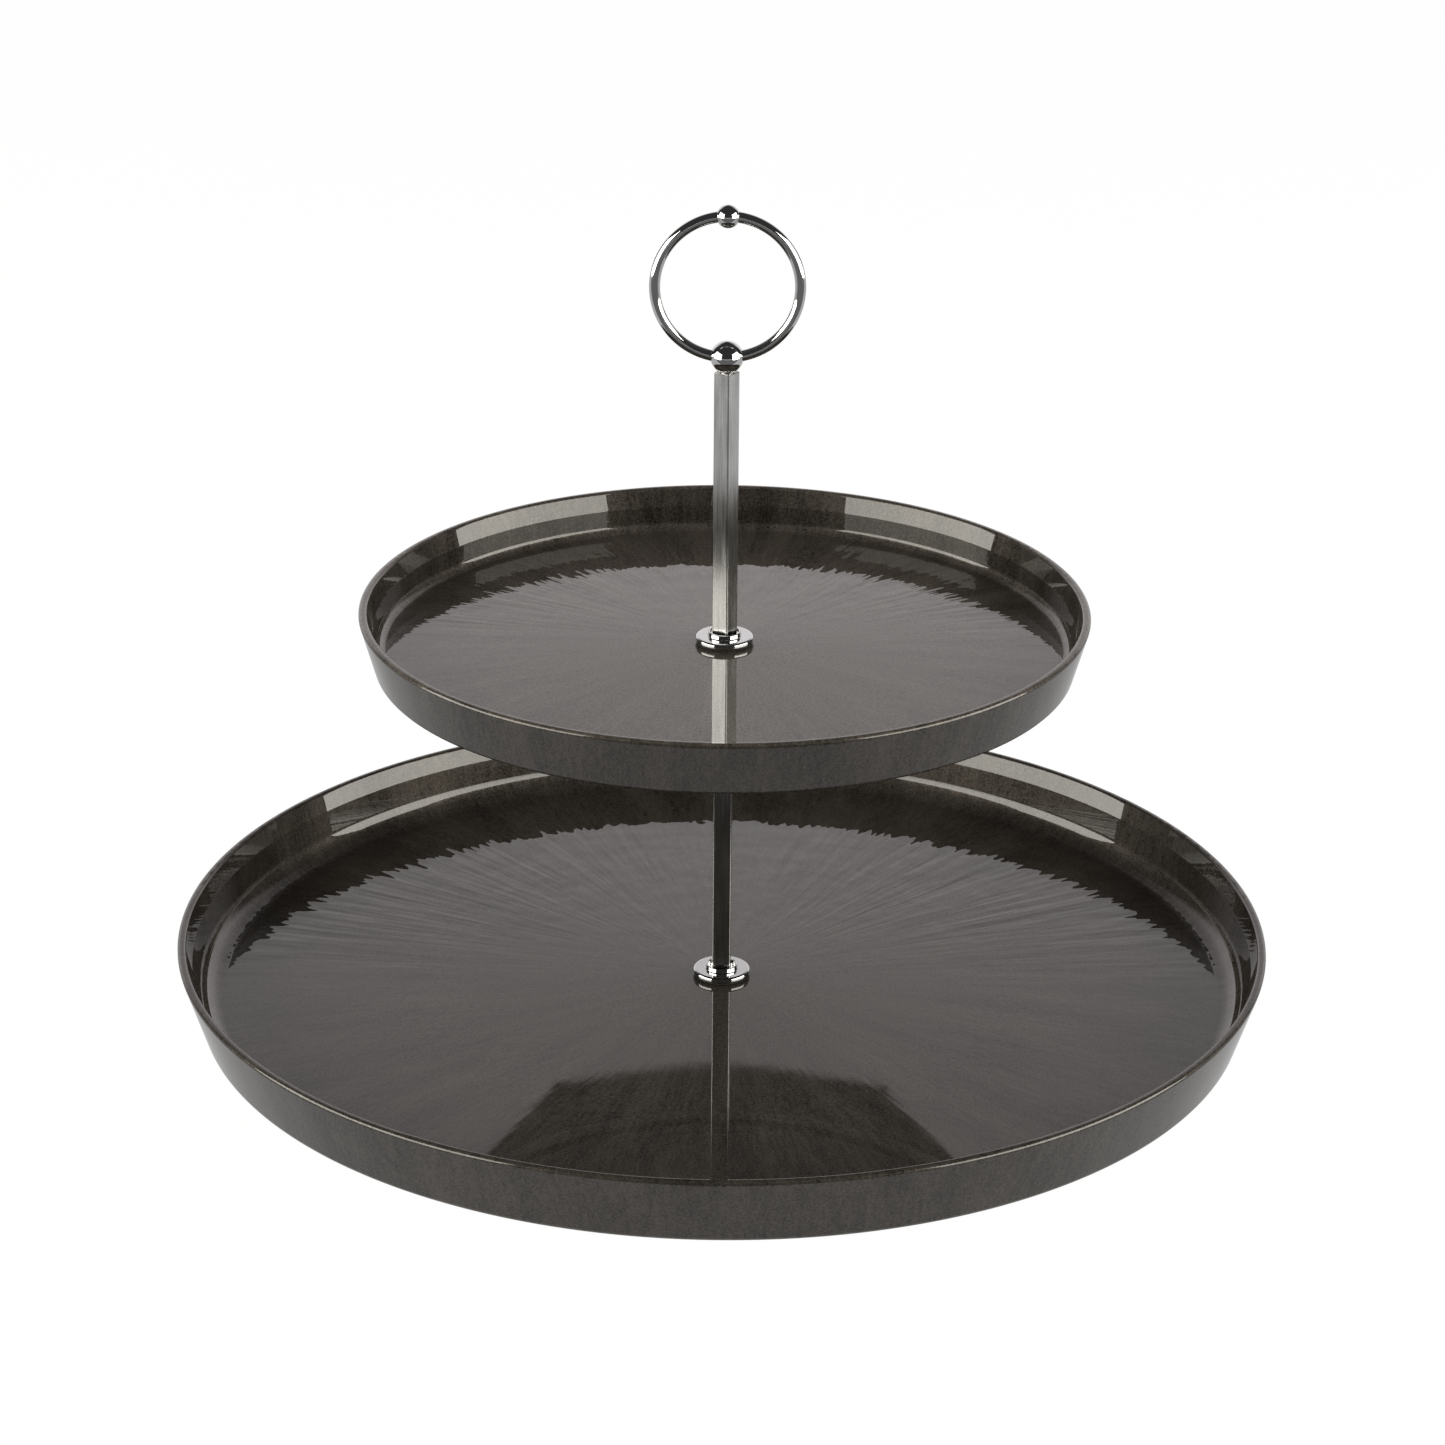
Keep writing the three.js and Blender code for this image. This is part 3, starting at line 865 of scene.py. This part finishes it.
def add_world():
    """A dark room with a white sweep behind the stand, seen as plain white by the camera."""
    world = bpy.data.worlds.new("studio")
    bpy.context.scene.world = world
    world.use_nodes = True
    room = Nodes(world.node_tree)
    direction = room.node("ShaderNodeTexCoord").outputs["Generated"]
    axes = room.node("ShaderNodeSeparateXYZ")
    room.link(direction, axes.inputs["Vector"])
    height = axes.outputs["Z"]
    reach = room.vector("LENGTH", room.vector("MULTIPLY", direction, LEVEL))
    straight_back = room.math("DIVIDE", axes.outputs["Y"], reach)
    behind = room.spread(straight_back, *SWEEP_EDGE_COSINES, interpolation="SMOOTHSTEP")
    low = room.spread(height, *SWEEP_TOP_SINES)
    sideways = room.math("ABSOLUTE", room.math("DIVIDE", axes.outputs["X"], axes.outputs["Y"]))
    past_gap = room.math("SUBTRACT", sideways, room.spread(height, *GAP_SINES, *GAP_HALF_WIDTHS))
    beside_gap = room.spread(past_gap, 0, GAP_BLUR, interpolation="SMOOTHSTEP")
    below_gap = room.spread(height, GAP_SINES[0], GAP_SINES[0] - GAP_BLUR, interpolation="SMOOTHSTEP")
    clear = room.math("MAXIMUM", beside_gap, below_gap)
    sweep_share = room.math("MULTIPLY", room.math("MULTIPLY", behind, low), clear)
    shade = room.mix(sweep_share, DARK_ROOM, WHITE_SWEEP)
    seen = room.mix(room.node("ShaderNodeLightPath").outputs["Is Camera Ray"], shade, WHITE)
    background = room.tree.nodes["Background"]
    room.link(seen, background.inputs["Color"])
    background.inputs["Strength"].default_value = 1


def add_floor(material):
    mesh = bpy.data.meshes.new("floor")
    shape = bmesh.new()
    bmesh.ops.create_circle(shape, cap_ends=True, segments=FLOOR_SIDES, radius=FLOOR_RADIUS)
    shape.to_mesh(mesh)
    shape.free()
    mesh.materials.append(material)
    floor = bpy.data.objects.new("floor", mesh)
    bpy.context.scene.collection.objects.link(floor)


def add_card(name, near_y, far_y, material):
    """A glowing card that lies on the table and that only the shiny pieces see: painted shade of the table,
    shown in their reflections.
    """
    mesh = bpy.data.meshes.new(name)
    corners = [(-CARD_SPAN, near_y), (CARD_SPAN, near_y), (CARD_SPAN, far_y), (-CARD_SPAN, far_y)]
    mesh.from_pydata([(x, y, CARD_Z) for x, y in corners], [], [(0, 1, 2, 3)])
    mesh.materials.append(material)
    card = bpy.data.objects.new(name, mesh)
    for sight in ("visible_camera", "visible_diffuse", "visible_shadow", "visible_transmission"):
        setattr(card, sight, False)
    bpy.context.scene.collection.objects.link(card)


def build_studio():
    add_camera()
    add_world()
    add_floor(glowing_paper("floor_paper", FLOOR_SHADE, FLOOR_GLOW))
    # Painted shade for reflections only: the table in front of the stand looks dim to the shiny pieces.
    black = glowing_paper("card_front_shade", CARD_SHADE, FRONT_SHADE_GLOW)
    add_card("front_shade_card", -CARD_SPAN, CARD_EDGE_Y, black)
    # Painted shadow for reflections only: the rest of the table looks greyer to the shiny pieces, as in the
    # stand's shade.
    grey = glowing_paper("card_table_shadow", CARD_SHADE, TABLE_SHADOW_GLOW)
    add_card("table_shadow_card", CARD_EDGE_Y, CARD_SPAN, grey)
    for side, sign in (("left", -1), ("right", 1)):
        add_softbox(side, sign)
    bpy.context.scene.view_settings.view_transform = "Standard"


def build_stand():
    plated = chrome()
    zinc = zinc_plate()
    build_trays(tray_lacquer())
    build_flanges(plated)
    build_posts(satin_tube())
    build_gaskets(gasket_rubber())
    build_bushes(zinc)
    build_screws(zinc)
    build_handle(plated)


build_studio()
build_stand()
